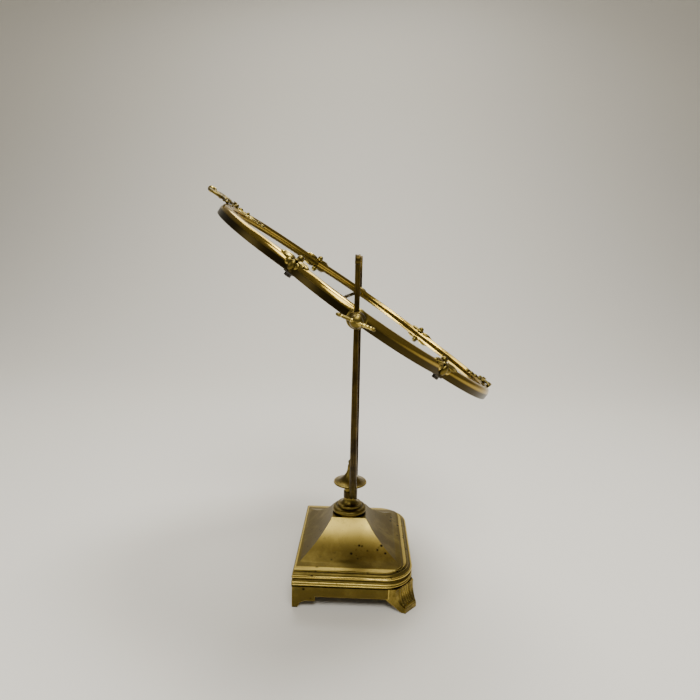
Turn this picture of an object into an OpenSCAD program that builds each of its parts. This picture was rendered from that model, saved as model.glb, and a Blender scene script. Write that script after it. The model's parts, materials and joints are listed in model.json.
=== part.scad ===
// Table-top swing mirror on a moulded brass stand.
// A hollow cast base carries a turned hub; a harp-shaped yoke rises from the hub
// and holds a four-lobed mirror frame between two friction pivots with wing nuts.
// Millimetres. +Z up, the front is -Y, the pivots lie along X.
// The origin is on the table, under the middle of the whole object.

/* [Base] */
// Width of the swept roof at its lower edge, side to side
roof_w = 128; // [112:1:160]
// Reach of the roof's lower edge in front of the hub
roof_front = 56; // [50:1:70]
// Reach of the roof's lower edge behind the hub
roof_back = 49; // [44:1:62]
// Radius of the roof's two rounded front corners
corner_r = 22; // [14:1:28]
// Width of the flat plate at the top of the roof
plate_w = 32; // [30:1:60]
// Depth of the flat plate at the top of the roof
plate_d = 34; // [32:1:44]
// Height of the roof's lower edge above the table
eaves_z = 35.5; // [30:0.5:45]
// Height of the top plate above the table
plate_z = 64; // [58:1:80]
// Radius of the roof's concave sweep
sweep_r = 65; // [55:1:90]
// Wall of the casting
wall = 4; // [3:0.5:5]
// How far the base moulding stands out at the front and sides
ledge = 7; // [6:0.5:10]
// How far the base moulding stands out at the back
back_ledge = 2; // [1:0.5:4]
// Height of the arches cut in the apron
arch_z = 11.5; // [8:0.5:13]
// Height of the small step beside each rear bracket foot
step_z = 7; // [5:0.5:8]
// Width of a rear bracket foot at the table
rear_foot_w = 6; // [5:0.5:9]
// Length of the step between a rear foot and its arch
step_l = 16; // [10:1:20]

/* [Front feet] */
// Width of a splayed front foot
foot_w = 16; // [12:1:18]
// Reach of the toe from the centre of the rounded corner
toe_reach = 37; // [35:0.5:42]
// Height of the toe
toe_z = 5.5; // [4:0.5:7]
// Angle of the foot from the side of the base
foot_angle = 47; // [42:1:55]
// Radius of the foot's concave upper side
foot_sweep_r = 16; // [14:1:30]
// Radius of the screw that holds a front foot
foot_screw_r = 2; // [1.5:0.1:2.5]

/* [Hub] */
// Radius of the tie rod through the hub
rod_r = 3; // [2.5:0.1:4]
// Middle radius of the collar ring
ring_r = 14.5; // [12:0.5:16]
// Radius of the collar ring's round section
ring_bead_r = 3.1; // [2.2:0.1:4]
// Height of the trumpet-shaped socket
socket_h = 9.2; // [8:0.1:14]
// Radius of the socket at its top
socket_top_r = 6.2; // [5.5:0.1:8]
// Radius of the socket at its foot
socket_foot_r = 12.5; // [10:0.5:14]
// Height of the yoke's hub eye
eye_h = 7; // [6:0.5:9]
// Height of the neck under the bell
neck_h = 8.6; // [6:0.1:12]
// Radius of the bell's rim
bell_r = 17; // [14:0.5:19]
// Height of the bell
bell_h = 20.5; // [18:0.5:26]
// Radius of the ball on top
ball_r = 2.6; // [2.2:0.1:3.4]

/* [Yoke] */
// How far the arms stand in front of the hub's axis
yoke_front = 4; // [2:0.5:5]
// Space left between the swinging mirror and the finial
swing_gap = 6; // [4:0.5:12]
// Depth of an arm in the plane of the yoke
arm_depth = 5; // [4:0.5:6]
// Thickness of an arm at the hub, front to back
arm_t_low = 7.5; // [6:0.5:8]
// Thickness of an arm at the pivot, front to back
arm_t_high = 3.8; // [3.2:0.1:5]
// Length of an arm's horn above the pivot
horn_l = 43; // [30:1:50]
// Radius of the outward curve of the horn
horn_r = 140; // [110:1:180]
// Radius of the scroll at the tip of the horn
scroll_r = 4.5; // [3.5:0.1:5.5]

/* [Mirror] */
// Tilt of the mirror, from lying face up, as it is left standing
tilt = 33.5; // [20:0.5:60]
// Radius of each of the four lobes of the frame
lobe_r = 100; // [84:1:120]
// Distance of the two side lobes' centres to the left and right
side_lobe = 29.5; // [26:0.5:33]
// How far the side lobes' centres lie below the pivots
side_drop = 7.5; // [0:0.5:10]
// Distance of the upper lobe's centre above the pivots
upper_lobe = 57; // [50:0.5:62]
// Distance of the lower lobe's centre below the pivots
lower_lobe = 51.5; // [46:0.5:58]
// Width of the frame, from its outer side to the sight edge
rim_w = 9; // [8:0.5:11]
// Depth of the frame behind the pivot axis
rim_back = 4; // [4:0.5:6]
// Height of the frame's crest in front of the pivot axis
rim_front = 7; // [6:0.5:8]
// Width of the rebate's wall outside the glass
rebate_w = 5; // [4.5:0.5:6]
// Thickness of the mirror glass
glass_t = 3; // [2.5:0.5:3]
// Thickness of the backing card
card_t = 1.5; // [1:0.5:1.5]
// Thickness of the back plate
back_t = 1.5; // [1:0.5:1.5]

/* [Pivots] */
// Length of the ringed boss between the frame and an arm
boss_l = 13; // [11:0.5:18]
// Radius of the pivot screws
screw_r = 2.5; // [2:0.1:3]
// Radius of the ringed boss on the frame
boss_r = 8; // [7:0.5:10]
// Radius of the eye on each arm
arm_eye_r = 6.5; // [6:0.5:8]
// Radius of the washers
washer_r = 6; // [5:0.5:7]
// Thickness of the washers
washer_t = 1.2; // [0.8:0.1:1.5]
// Length of a wing nut along the screw
nut_l = 8; // [6:0.5:10]
// Reach of a wing from the screw's axis
wing_reach = 15.5; // [12:0.5:18]
// Slant of the wings from the plane of the glass
wing_slant = -11.5; // [-90:0.5:90]

/* [Ornaments] */
// Radius of the clasp studs
stud_r = 1.3; // [1:0.1:1.4]
// Width of a clasp across the frame's notch
clasp_w = 13; // [10:0.5:16]
// Thickness of the crest and of the lower ornament
crest_t = 3; // [2.5:0.5:4]
// Reach of the crest beyond the frame's upper end
crest_reach = 22; // [18:1:26]
// Radius of the crest's scrolled tip
crest_roll_r = 3.2; // [2.5:0.1:4]

/* [Hidden] */
$fn = 96;

// Clearances
fit = 0.05;     // radial play of a screw or rod in its hole
gap = 0.3;      // space between pieces that move past each other
seat = 0.4;     // play of the glass and its backing inside the rebate
cut = 1;        // how far a cutting shape runs past the face that it opens
far = 400;      // longer than anything it has to cut

// Base moulding, from the table up: top of each course and its step out from the roof
apron_out = ledge - 1.2;
band_z = eaves_z - 13.5;
courses = [
    [band_z, apron_out],
    [band_z + 5.5, ledge],
    [band_z + 7, ledge - 1.7],
    [band_z + 11, ledge],
    [band_z + 12.5, ledge - 3.5],
    [eaves_z, 1]];
corner_x = roof_w / 2 - corner_r;
corner_y = -(roof_front - corner_r);
wall_in = corner_r + apron_out - wall;
wall_out = corner_r + apron_out;

// A front foot's tab behind the wall, and the screw through both
tab = 3.5;
tab_w = 12;
tab_z = arch_z + 8;
tab_in = wall_in - tab;
foot_screw_z = arch_z + 4.5;
foot_screw_head = 1.8;
foot_screw_end = wall_out - 0.8;

// Hub stack
ring_z = plate_z;
socket_z = ring_z + 2 * ring_bead_r;
eye_z = socket_z + socket_h;
eye_r = socket_top_r + 0.3;
yoke_z = eye_z + eye_h / 2;
neck_z = eye_z + eye_h;
bell_z = neck_z + neck_h;
ball_z = bell_z + bell_h;
plate_under = plate_z - wall;
ball_sunk = 0.6;
ball_top = ball_z + 2 * ball_r - ball_sunk;
rod_top = bell_z + 0.4 * bell_h;
washer_h = 2;
nut_h = 5;
rod_end = 4;

// Mirror: the notch between two lobes is seen from the middle of the line of their centres
half_w = side_lobe + lobe_r;
upper_l = upper_lobe + lobe_r;
lower_l = lower_lobe + lobe_r;
rebate_r = lobe_r - rebate_w;
glass_front = rim_front - 4.5;
card_front = glass_front - glass_t;
plate_front = card_front - card_t;
leaf_out = 3;
rivet_r = 1.2;
rivet_x = 12;
clip_t = 1;
clip_on = max(rim_back, back_t - plate_front);
clasp_nut_t = 2.6;
function lobe_rise(sy) = sy > 0 ? upper_lobe + side_drop : lower_lobe - side_drop;
function lobe_gap(sy) = sqrt(side_lobe * side_lobe + lobe_rise(sy) * lobe_rise(sy));
function notch_at(r, sy) = sqrt(r * r - lobe_gap(sy) * lobe_gap(sy) / 4);
function stud_at(sy) = (notch_at(lobe_r, sy) + notch_at(rebate_r, sy)) / 2;
function rail_mid(x) = sqrt(pow(lobe_r - rebate_w / 2, 2) - x * x);

// Yoke arc: through the hub eye, and upright where it reaches the pivot
yoke_half = half_w + boss_l;
pivot_z = ball_top + swing_gap + leaf_out + lower_l;
arm_eye_t = arm_depth + 1;
arm_start = socket_top_r;
arm_rise = pivot_z - yoke_z;
arm_run = yoke_half - arm_start;
yoke_r = (arm_run * arm_run + arm_rise * arm_rise) / (2 * arm_run);
horn_depth = 5;

// Pivot stack along X, from the frame outwards
boss_end = yoke_half - arm_eye_t / 2 - gap;
washer_in = yoke_half + arm_eye_t / 2 + gap;
nut_in = washer_in + washer_t + gap;
screw_in = half_w - 4;
screw_out = nut_in + nut_l - 2.5;

// Front to back, the tilted mirror reaches furthest, and the origin is in the middle of its reach
roll_at = upper_l + crest_reach - crest_roll_r;
back_reach = roll_at * cos(tilt) - (rim_front + crest_t / 2) * sin(tilt) + crest_roll_r;
front_reach = (lower_l + leaf_out) * cos(tilt) + (rim_front + crest_t) * sin(tilt);
mirror_y = (front_reach - back_reach) / 2;
hub_y = mirror_y + yoke_front;

// ---------------------------------------------------------------- shared shapes

module at_hub() {
    translate([0, hub_y, 0]) children();
}

// The mirror's own frame: X along the pivots, Y up the glass, Z out of its face
module on_mirror() {
    translate([0, mirror_y, pivot_z]) rotate([tilt, 0, 0]) children();
}

// Plan of the base, out from the roof's edge and then in by a wall: round corners only in front
module plan(out, inset = 0) {
    x = roof_w / 2 + out - inset;
    front = roof_front + out - inset;
    back = roof_back + out * back_ledge / ledge - inset;
    r = corner_r + out - inset;
    translate([-x, r - front]) square([2 * x, front + back - r]);
    translate([r - x, -front]) square([2 * (x - r), front]);
    for (s = [-1, 1])
        translate([s * (x - r), r - front]) circle(r);
}

// Centre of the arc of radius r from a, up and inwards to b, that sags towards the axis
function arc_centre(a, b, r) =
    let (d = b - a, chord = norm(d), off = sqrt(r * r - chord * chord / 4) / chord)
    (a + b) / 2 + off * [d[1], -d[0]];

// Half of a concave roof section: a block cut by the arc that joins its swept edge to its top
module half_section(low, high, z_low, z_high) {
    skirt = 5;
    difference() {
        translate([-cut, z_low - 2 * skirt]) square([low + cut + skirt, z_high - z_low + 2 * skirt]);
        translate(arc_centre([low, z_low], [high, z_high], sweep_r)) circle(sweep_r, $fn = 180);
    }
}

// Swept roof; in_x and in_z bring its surface inwards and down
module swept_roof(in_x, in_z) {
    z_low = eaves_z - in_z;
    z_high = plate_z - in_z;
    root = 3;
    intersection() {
        rotate([90, 0, 0]) linear_extrude(far, center = true)
            for (s = [0, 1]) mirror([s, 0])
                half_section(roof_w / 2 - in_x, plate_w / 2 - in_x, z_low, z_high);
        rotate([90, 0, 90]) linear_extrude(far, center = true) {
            half_section(roof_back - in_x, plate_d / 2 - in_x, z_low, z_high);
            mirror([1, 0]) half_section(roof_front - in_x, plate_d / 2 - in_x, z_low, z_high);
        }
        translate([0, 0, z_low - root]) linear_extrude(far) plan(-in_x);
    }
}

// Opening between two bracket feet: an arch with a step and a quarter round beside one foot
module bracket_arch(from, to) {
    translate([from, -cut]) square([to - step_l - from, arch_z + cut]);
    translate([from, -cut]) square([to - step_z - from, step_z + cut]);
    translate([to - step_z - cut, -cut]) square([step_z + cut, cut]);
    intersection() {
        translate([to - step_z, 0]) circle(step_z);
        translate([to - step_z - cut, -cut]) square([step_z + cut, step_z + cut]);
    }
}

// Outline of the mirror: four round lobes of one radius
module lobes(r) {
    for (s = [-1, 1])
        translate([s * side_lobe, -side_drop]) circle(r, $fn = 180);
    for (y = [-lower_lobe, upper_lobe])
        translate([0, y]) circle(r, $fn = 180);
}

module slab(r, z0, z1) {
    translate([0, 0, z0]) linear_extrude(z1 - z0) lobes(r);
}

// Places children at one of the four notches, X pointing outwards
module at_notch(sx, sy) {
    translate([0, -side_drop, 0]) mirror([sx < 0 ? 1 : 0, 0, 0]) mirror([0, sy < 0 ? 1 : 0, 0])
        translate([side_lobe / 2, lobe_rise(sy) / 2, 0])
            rotate([0, 0, atan2(side_lobe, lobe_rise(sy))]) children();
}

// Places children on the axis of each clasp's stud
module at_studs() {
    for (sx = [-1, 1], sy = [-1, 1]) at_notch(sx, sy) translate([stud_at(sy), 0, 0]) children();
}

// A stretch of round bar along the pivot axis, on the left (-1) or right (1)
module pivot_bar(side, r, x0, x1) {
    translate([side * x0, 0, 0]) rotate([0, side * 90, 0]) cylinder(h = x1 - x0, r = r);
}

// ---------------------------------------------------------------- base

module base_casting() {
    color("darkgoldenrod") at_hub() difference() {
        union() {
            for (i = [0 : len(courses) - 1]) {
                z0 = i == 0 ? 0 : courses[i - 1][0];
                translate([0, 0, z0]) linear_extrude(courses[i][0] - z0) plan(courses[i][1]);
            }
            swept_roof(0, 0);
        }
        swept_roof(wall / 2, wall);
        translate([0, 0, -cut]) linear_extrude(eaves_z - 1.6 * wall + cut) plan(apron_out, wall);
        cylinder(h = far, r = rod_r + fit);
        rotate([90, 0, 90]) linear_extrude(far, center = true)
            bracket_arch(-far / 2, roof_back + back_ledge - rear_foot_w);
        for (s = [0, 1]) mirror([s, 0, 0])
            rotate([90, 0, 0]) translate([0, 0, -far]) linear_extrude(far)
                bracket_arch(-cut, roof_w / 2 + apron_out - rear_foot_w);
        for (s = [-1, 1]) foot_place(s) foot_screw_hole();
    }
}

// Front feet stand out from the centres of the rounded corners
module foot_place(side) {
    mirror([side > 0 ? 0 : 1, 0, 0])
        translate([corner_x, corner_y, 0]) rotate([0, 0, -foot_angle]) children();
}

module foot_screw_hole() {
    translate([tab_in - cut, 0, foot_screw_z]) rotate([0, 90, 0])
        cylinder(h = foot_screw_end - tab_in + cut + gap, r = foot_screw_r + fit);
}

// Side of a front foot: a slanted underside and a concave upper side
module foot_section() {
    shoulder = [wall_out + 1, band_z];
    toe_back = [toe_reach - 3, toe_z + 1];
    difference() {
        polygon([[tab_in, band_z], [tab_in, arch_z - 0.5], [toe_reach - 3, 0], [toe_reach, 0],
            [toe_reach, toe_z], toe_back, [toe_reach, band_z]]);
        translate(arc_centre(toe_back, shoulder, foot_sweep_r)) circle(foot_sweep_r);
    }
}

// Plan of a front foot: it flares from the toe to the sides of the base
module foot_plan() {
    flare_from = 0.74 * wall_out;
    flare_half = 0.63 * wall_out;
    difference() {
        polygon([[flare_from, -flare_half], [toe_reach, -foot_w / 2], [toe_reach, foot_w / 2],
            [flare_from, flare_half]]);
        circle(wall_in + wall / 4);
    }
}

module front_foot(side) {
    color("goldenrod") at_hub() difference() {
        foot_place(side) intersection() {
            rotate([90, 0, 0]) linear_extrude(far, center = true) foot_section();
            union() {
                translate([tab_in, -tab_w / 2, 0]) cube([wall_out - tab_in, tab_w, tab_z]);
                linear_extrude(band_z) foot_plan();
            }
        }
        translate([0, 0, arch_z]) linear_extrude(far) difference() {
            plan(apron_out);
            plan(apron_out, wall);
        }
        foot_place(side) foot_screw_hole();
    }
}

module front_foot_left() {
    front_foot(-1);
}

module front_foot_right() {
    front_foot(1);
}

module foot_screws() {
    color("dimgray") at_hub() for (s = [-1, 1]) foot_place(s)
        translate([tab_in - foot_screw_head, 0, foot_screw_z]) rotate([0, 90, 0]) {
            cylinder(h = foot_screw_head, r = 1.7 * foot_screw_r);
            cylinder(h = foot_screw_head + foot_screw_end - tab_in, r = foot_screw_r);
        }
}

// ---------------------------------------------------------------- hub

module turned(z) {
    translate([0, 0, z]) rotate_extrude() children();
}

module collar_ring() {
    color("goldenrod") at_hub() turned(ring_z) difference() {
        union() {
            translate([0, 0]) square([ring_r, 2 * ring_bead_r]);
            translate([ring_r, ring_bead_r]) circle(ring_bead_r);
        }
        translate([-cut, -cut]) square([rod_r + fit + cut, far]);
    }
}

module socket() {
    flare = socket_foot_r - socket_top_r;
    color("goldenrod") at_hub() turned(socket_z) difference() {
        translate([rod_r + fit, 0]) square([socket_foot_r - rod_r - fit, socket_h]);
        translate([socket_foot_r, socket_h]) scale(flare) circle(1);
        translate([socket_top_r, socket_h / 2 + flare / 2]) square([far, socket_h / 2 - flare / 2 + cut]);
        translate([socket_top_r, flare + 1]) square([flare + cut, socket_h]);
    }
}

module neck_spacer() {
    color("goldenrod") at_hub() turned(neck_z)
        translate([rod_r + fit, 0]) square([socket_top_r - rod_r - fit, neck_h]);
}

module bell_finial() {
    lip = 1.6;
    sweep = bell_r - 1;
    top_r = ball_r + 0.4;
    color("goldenrod") at_hub() turned(bell_z) difference() {
        union() {
            square([bell_r - lip / 2, bell_h]);
            translate([bell_r - lip / 2, lip / 2]) circle(lip / 2);
        }
        translate([-cut, -cut]) square([rod_r + fit + cut, rod_top - bell_z + gap + cut]);
        translate([sweep + top_r, sweep + lip]) circle(sweep, $fn = 180);
        translate([sweep + top_r, lip]) square([far, far]);
        translate([top_r, sweep + lip]) square([far, far]);
    }
}

module finial_ball() {
    color("goldenrod") at_hub() difference() {
        translate([0, 0, ball_z + ball_r - ball_sunk]) sphere(ball_r);
        translate([-far / 2, -far / 2, -far + ball_z]) cube([far, far, far]);
    }
}

module tie_rod() {
    color("dimgray") at_hub()
        translate([0, 0, plate_under - washer_h - nut_h - rod_end])
            cylinder(h = rod_top - plate_under + washer_h + nut_h + rod_end, r = rod_r);
}

module rod_washer() {
    color("gray") at_hub() turned(plate_under - washer_h)
        translate([rod_r + fit, 0]) square([9 - rod_r, washer_h]);
}

module rod_nut() {
    color("gray") at_hub() translate([0, 0, plate_under - washer_h - nut_h]) difference() {
        cylinder(h = nut_h, r = 2 * rod_r, $fn = 6);
        translate([0, 0, -cut]) cylinder(h = nut_h + 2 * cut, r = rod_r + fit);
    }
}

// ---------------------------------------------------------------- yoke

// One arm seen from the front, on the +X side
module arm_outline() {
    intersection() {
        translate([yoke_half - yoke_r, pivot_z]) difference() {
            circle(yoke_r + arm_depth / 2, $fn = 360);
            circle(yoke_r - arm_depth / 2, $fn = 360);
        }
        union() {
            translate([eye_r, eye_z]) square([yoke_half, arm_rise + eye_h / 2]);
            translate([0, eye_z]) square([eye_r + cut, eye_h]);
        }
    }
    intersection() {
        translate([yoke_half + horn_r, pivot_z]) difference() {
            circle(horn_r + horn_depth / 2, $fn = 180);
            circle(horn_r - horn_depth / 2, $fn = 180);
        }
        translate([yoke_half - horn_depth, pivot_z]) square([4 * horn_depth, horn_l]);
    }
    translate([yoke_half + horn_r - sqrt(horn_r * horn_r - horn_l * horn_l) + scroll_r / 2, pivot_z + horn_l])
        circle(scroll_r);
}

module yoke() {
    low = arm_t_low / 2;
    high = arm_t_high / 2;
    top = pivot_z + horn_l + scroll_r + cut;
    color("darkgoldenrod") difference() {
        union() {
            translate([0, mirror_y, 0]) intersection() {
                rotate([90, 0, 0]) linear_extrude(arm_t_low + cut, center = true)
                    for (s = [0, 1]) mirror([s, 0]) arm_outline();
                rotate([90, 0, 90]) linear_extrude(far, center = true)
                    polygon([[-low, 0], [low, 0], [low, eye_z], [high, pivot_z], [high, top],
                        [-high, top], [-high, pivot_z], [-low, eye_z]]);
            }
            translate([-eye_r, mirror_y - low, eye_z]) cube([2 * eye_r, low + yoke_front, eye_h]);
            at_hub() translate([0, 0, eye_z]) cylinder(h = eye_h, r = eye_r);
            for (s = [-1, 1]) translate([0, mirror_y, pivot_z])
                pivot_bar(s, arm_eye_r, yoke_half - arm_eye_t / 2, yoke_half + arm_eye_t / 2);
        }
        at_hub() cylinder(h = far, r = rod_r + fit);
        for (s = [-1, 1]) translate([0, mirror_y, pivot_z])
            pivot_bar(s, screw_r + fit, yoke_half - arm_eye_t, yoke_half + arm_eye_t);
    }
}

// ---------------------------------------------------------------- mirror

// Places children on the rail, beside the middle of the frame's two ends
module at_rivets() {
    for (sx = [-1, 1], y = [-lower_lobe - rail_mid(rivet_x), upper_lobe + rail_mid(rivet_x)])
        translate([sx * rivet_x, y, rim_front]) children();
}

module rivet_holes() {
    at_rivets() translate([0, 0, -4]) cylinder(h = far, r = rivet_r + fit);
}

module mirror_frame() {
    color("darkgoldenrod") on_mirror() difference() {
        union() {
            slab(lobe_r, -rim_back, rim_front - 2.4);
            slab(lobe_r - 0.8, rim_front - 2.4, rim_front - 1);
            slab(lobe_r - 2.4, rim_front - 1, rim_front);
        }
        slab(lobe_r - rim_w, glass_front - cut, rim_front + cut);
        slab(rebate_r, -rim_back - cut, glass_front);
        at_studs() cylinder(h = far, r = stud_r + fit, center = true);
        for (s = [-1, 1]) pivot_bar(s, screw_r + fit, screw_in - 0.2, half_w + cut);
        rivet_holes();
    }
}

module mirror_glass() {
    color("lightsteelblue") on_mirror() slab(rebate_r - seat, card_front, glass_front);
}

module backing_card() {
    color("dimgray") on_mirror() slab(rebate_r - seat, plate_front, card_front);
}

module back_plate() {
    color("peru") on_mirror() slab(rebate_r - seat, plate_front - back_t, plate_front);
}

// A cast leaf clasp that bridges one notch, with a stud down through the frame
module clasp(sx, sy) {
    outer = notch_at(lobe_r, sy);
    bead = 3.4;
    leaf = 3.2;
    color("gold") on_mirror() {
        difference() {
            at_notch(sx, sy) {
                translate([outer - 4, -clasp_w / 2, -rim_back]) cube([9, clasp_w, rim_back + rim_front + 2]);
                translate([outer - 2, 0, rim_front + 3]) sphere(bead);
                for (s = [-1, 1], i = [0 : 2])
                    translate([outer - 2 - 0.8 * i + (s > 0 ? 0 : 1), s * (5 + 4.2 * i), rim_front + 0.8])
                        sphere(leaf - 0.5 * i);
            }
            slab(lobe_r, -rim_back - cut, rim_front);
        }
        at_notch(sx, sy) translate([stud_at(sy), 0, -clip_on - 5])
            cylinder(h = clip_on + rim_front + 6, r = stud_r);
    }
}

module clasp_upper_left() {
    clasp(-1, 1);
}

module clasp_upper_right() {
    clasp(1, 1);
}

module clasp_lower_left() {
    clasp(-1, -1);
}

module clasp_lower_right() {
    clasp(1, -1);
}

// Flat clips under the nuts reach in over the back plate
module back_clips() {
    color("dimgray") on_mirror() at_studs() translate([0, 0, -clip_on - clip_t]) difference() {
        translate([-12, -4, 0]) cube([15, 8, clip_t]);
        translate([0, 0, -cut]) cylinder(h = clip_t + 2 * cut, r = stud_r + fit);
    }
}

module clasp_nuts() {
    color("dimgray") on_mirror() at_studs() translate([0, 0, -clip_on - clip_t - clasp_nut_t]) difference() {
        cylinder(h = clasp_nut_t, r = 3, $fn = 6);
        translate([0, 0, -cut]) cylinder(h = clasp_nut_t + 2 * cut, r = stud_r + fit);
    }
}

// Pierced bow above the frame, with a leaf that reaches in over the glass
module crest() {
    knot = upper_l + 8;
    color("gold") on_mirror() difference() {
        union() {
            translate([0, 0, rim_front]) linear_extrude(crest_t) difference() {
                union() {
                    polygon([[-22, upper_l - 9], [22, upper_l - 9], [8, upper_l + 4], [-8, upper_l + 4]]);
                    polygon([[-2.5, upper_l - 40], [2.5, upper_l - 40], [9, upper_l - 5], [-9, upper_l - 5]]);
                    translate([0, knot]) circle(6);
                    for (s = [-1, 1]) translate([s * 12, knot + 1]) circle(9);
                    translate([-3, knot]) square([6, roll_at - knot]);
                }
                for (s = [-1, 1]) translate([s * 13, knot + 2]) circle(5);
            }
            translate([-5, roll_at, rim_front + crest_t / 2]) rotate([0, 90, 0]) cylinder(h = 10, r = crest_roll_r);
        }
        rivet_holes();
    }
}

module lower_ornament() {
    color("gold") on_mirror() difference() {
        translate([0, 0, rim_front]) linear_extrude(crest_t) mirror([0, 1]) {
            polygon([[-20, lower_l - 9], [20, lower_l - 9], [5, lower_l], [-5, lower_l]]);
            polygon([[-2.5, lower_l - 28], [2.5, lower_l - 28], [8, lower_l - 5], [-8, lower_l - 5]]);
            translate([0, lower_l + leaf_out - 4]) circle(4);
        }
        rivet_holes();
    }
}

module ornament_rivets() {
    color("darkgoldenrod") on_mirror() at_rivets() {
        translate([0, 0, -3.8]) cylinder(h = 3.8 + crest_t, r = rivet_r);
        translate([0, 0, crest_t]) cylinder(h = 0.8, r = 2);
    }
}

// ---------------------------------------------------------------- pivots

module pivot_boss(side) {
    neck = 1.5;
    color("goldenrod") on_mirror() difference() {
        union() {
            pivot_bar(side, boss_r, half_w - 4, boss_end - 2 * neck);
            pivot_bar(side, boss_r - 2, boss_end - 2 * neck, boss_end);
        }
        slab(lobe_r, -far / 2, far / 2);
        pivot_bar(side, screw_r + fit, half_w - 5, boss_end + cut);
    }
}

module pivot_boss_left() {
    pivot_boss(-1);
}

module pivot_boss_right() {
    pivot_boss(1);
}

module pivot_screw_left() {
    color("dimgray") on_mirror() pivot_bar(-1, screw_r, screw_in, screw_out);
}

module pivot_screw_right() {
    color("dimgray") on_mirror() pivot_bar(1, screw_r, screw_in, screw_out);
}

module washer(side) {
    color("gray") on_mirror() difference() {
        pivot_bar(side, washer_r, washer_in, washer_in + washer_t);
        pivot_bar(side, screw_r + fit, washer_in - cut, washer_in + washer_t + cut);
    }
}

module washer_left() {
    washer(-1);
}

module washer_right() {
    washer(1);
}

module wing_nut(side) {
    wing_t = 3;
    wing_l = 6;
    color("gold") on_mirror() rotate([wing_slant, 0, 0]) difference() {
        union() {
            pivot_bar(side, 5.5, nut_in, nut_in + nut_l);
            translate([side * (nut_in + nut_l - wing_l / 2), 0, 0])
                linear_extrude(wing_t, center = true) {
                    square([wing_l, 2 * (wing_reach - wing_l / 2)], center = true);
                    for (s = [-1, 1]) translate([0, s * (wing_reach - wing_l / 2)]) circle(wing_l / 2);
                }
        }
        pivot_bar(side, screw_r + fit, nut_in - cut, screw_out + gap);
    }
}

module wing_nut_left() {
    wing_nut(-1);
}

module wing_nut_right() {
    wing_nut(1);
}

base_casting();
front_foot_left();
front_foot_right();
foot_screws();
collar_ring();
socket();
yoke();
neck_spacer();
bell_finial();
finial_ball();
tie_rod();
rod_washer();
rod_nut();
mirror_frame();
mirror_glass();
backing_card();
back_plate();
clasp_upper_left();
clasp_upper_right();
clasp_lower_left();
clasp_lower_right();
back_clips();
clasp_nuts();
crest();
lower_ornament();
ornament_rivets();
pivot_boss_left();
pivot_boss_right();
pivot_screw_left();
pivot_screw_right();
washer_left();
washer_right();
wing_nut_left();
wing_nut_right();
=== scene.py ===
"""Looks for a table-top swing mirror of aged brass: cast base, turned hub, yoke and lobed frame."""

import json
import math

import bmesh
import bpy
from bpy.props import FloatProperty, FloatVectorProperty, IntProperty, PointerProperty
from mathutils import Matrix, Vector


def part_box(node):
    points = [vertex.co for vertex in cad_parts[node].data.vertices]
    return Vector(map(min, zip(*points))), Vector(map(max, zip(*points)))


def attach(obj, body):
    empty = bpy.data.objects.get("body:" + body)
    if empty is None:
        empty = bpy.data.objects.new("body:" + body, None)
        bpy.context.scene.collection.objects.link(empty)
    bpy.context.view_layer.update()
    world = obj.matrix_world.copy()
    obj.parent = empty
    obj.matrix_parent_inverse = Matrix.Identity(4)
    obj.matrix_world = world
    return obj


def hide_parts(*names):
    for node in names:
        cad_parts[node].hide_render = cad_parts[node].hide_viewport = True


bl_info = {
    "name": "Brass swing mirror",
    "version": (1, 0, 0),
    "blender": (4, 5, 0),
    "location": "3D View > Sidebar > Mirror",
    "description": "Builds the detailed pieces of a table-top swing mirror round its packed frame",
    "category": "Add Mesh",
}

MM = 0.001

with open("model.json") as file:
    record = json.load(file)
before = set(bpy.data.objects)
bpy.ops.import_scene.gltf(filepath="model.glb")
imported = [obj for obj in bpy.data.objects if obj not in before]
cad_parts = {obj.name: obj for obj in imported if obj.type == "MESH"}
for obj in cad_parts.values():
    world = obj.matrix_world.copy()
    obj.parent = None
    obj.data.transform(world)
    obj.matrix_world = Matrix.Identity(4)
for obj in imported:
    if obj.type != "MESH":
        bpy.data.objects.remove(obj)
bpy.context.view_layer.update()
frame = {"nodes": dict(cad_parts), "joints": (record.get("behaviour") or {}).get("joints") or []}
NODES = frame["nodes"]


def middle(node):
    """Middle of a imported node's box."""
    low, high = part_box(node)
    return (low + high) / 2


HUB_Y = middle("collar_ring").y
PIVOT = Vector(next(j["pos_m"] for j in frame["joints"] if j["name"] == "mirror_tilt"))
ROD_BORE = 3.05 * MM
PIVOT_BORE_MM = 2.55
ARM_INSET = 4.2 * MM
ARM_X = middle("washer_right").x - ARM_INSET


def hex_colour(code):
    """A linear colour from an sRGB hex code."""
    parts = [int(code[i : i + 2], 16) / 255 for i in (1, 3, 5)]
    return tuple(c / 12.92 if c <= 0.04045 else ((c + 0.055) / 1.055) ** 2.4 for c in parts) + (1.0,)


# ---------------------------------------------------------------- sizes and colours


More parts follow.
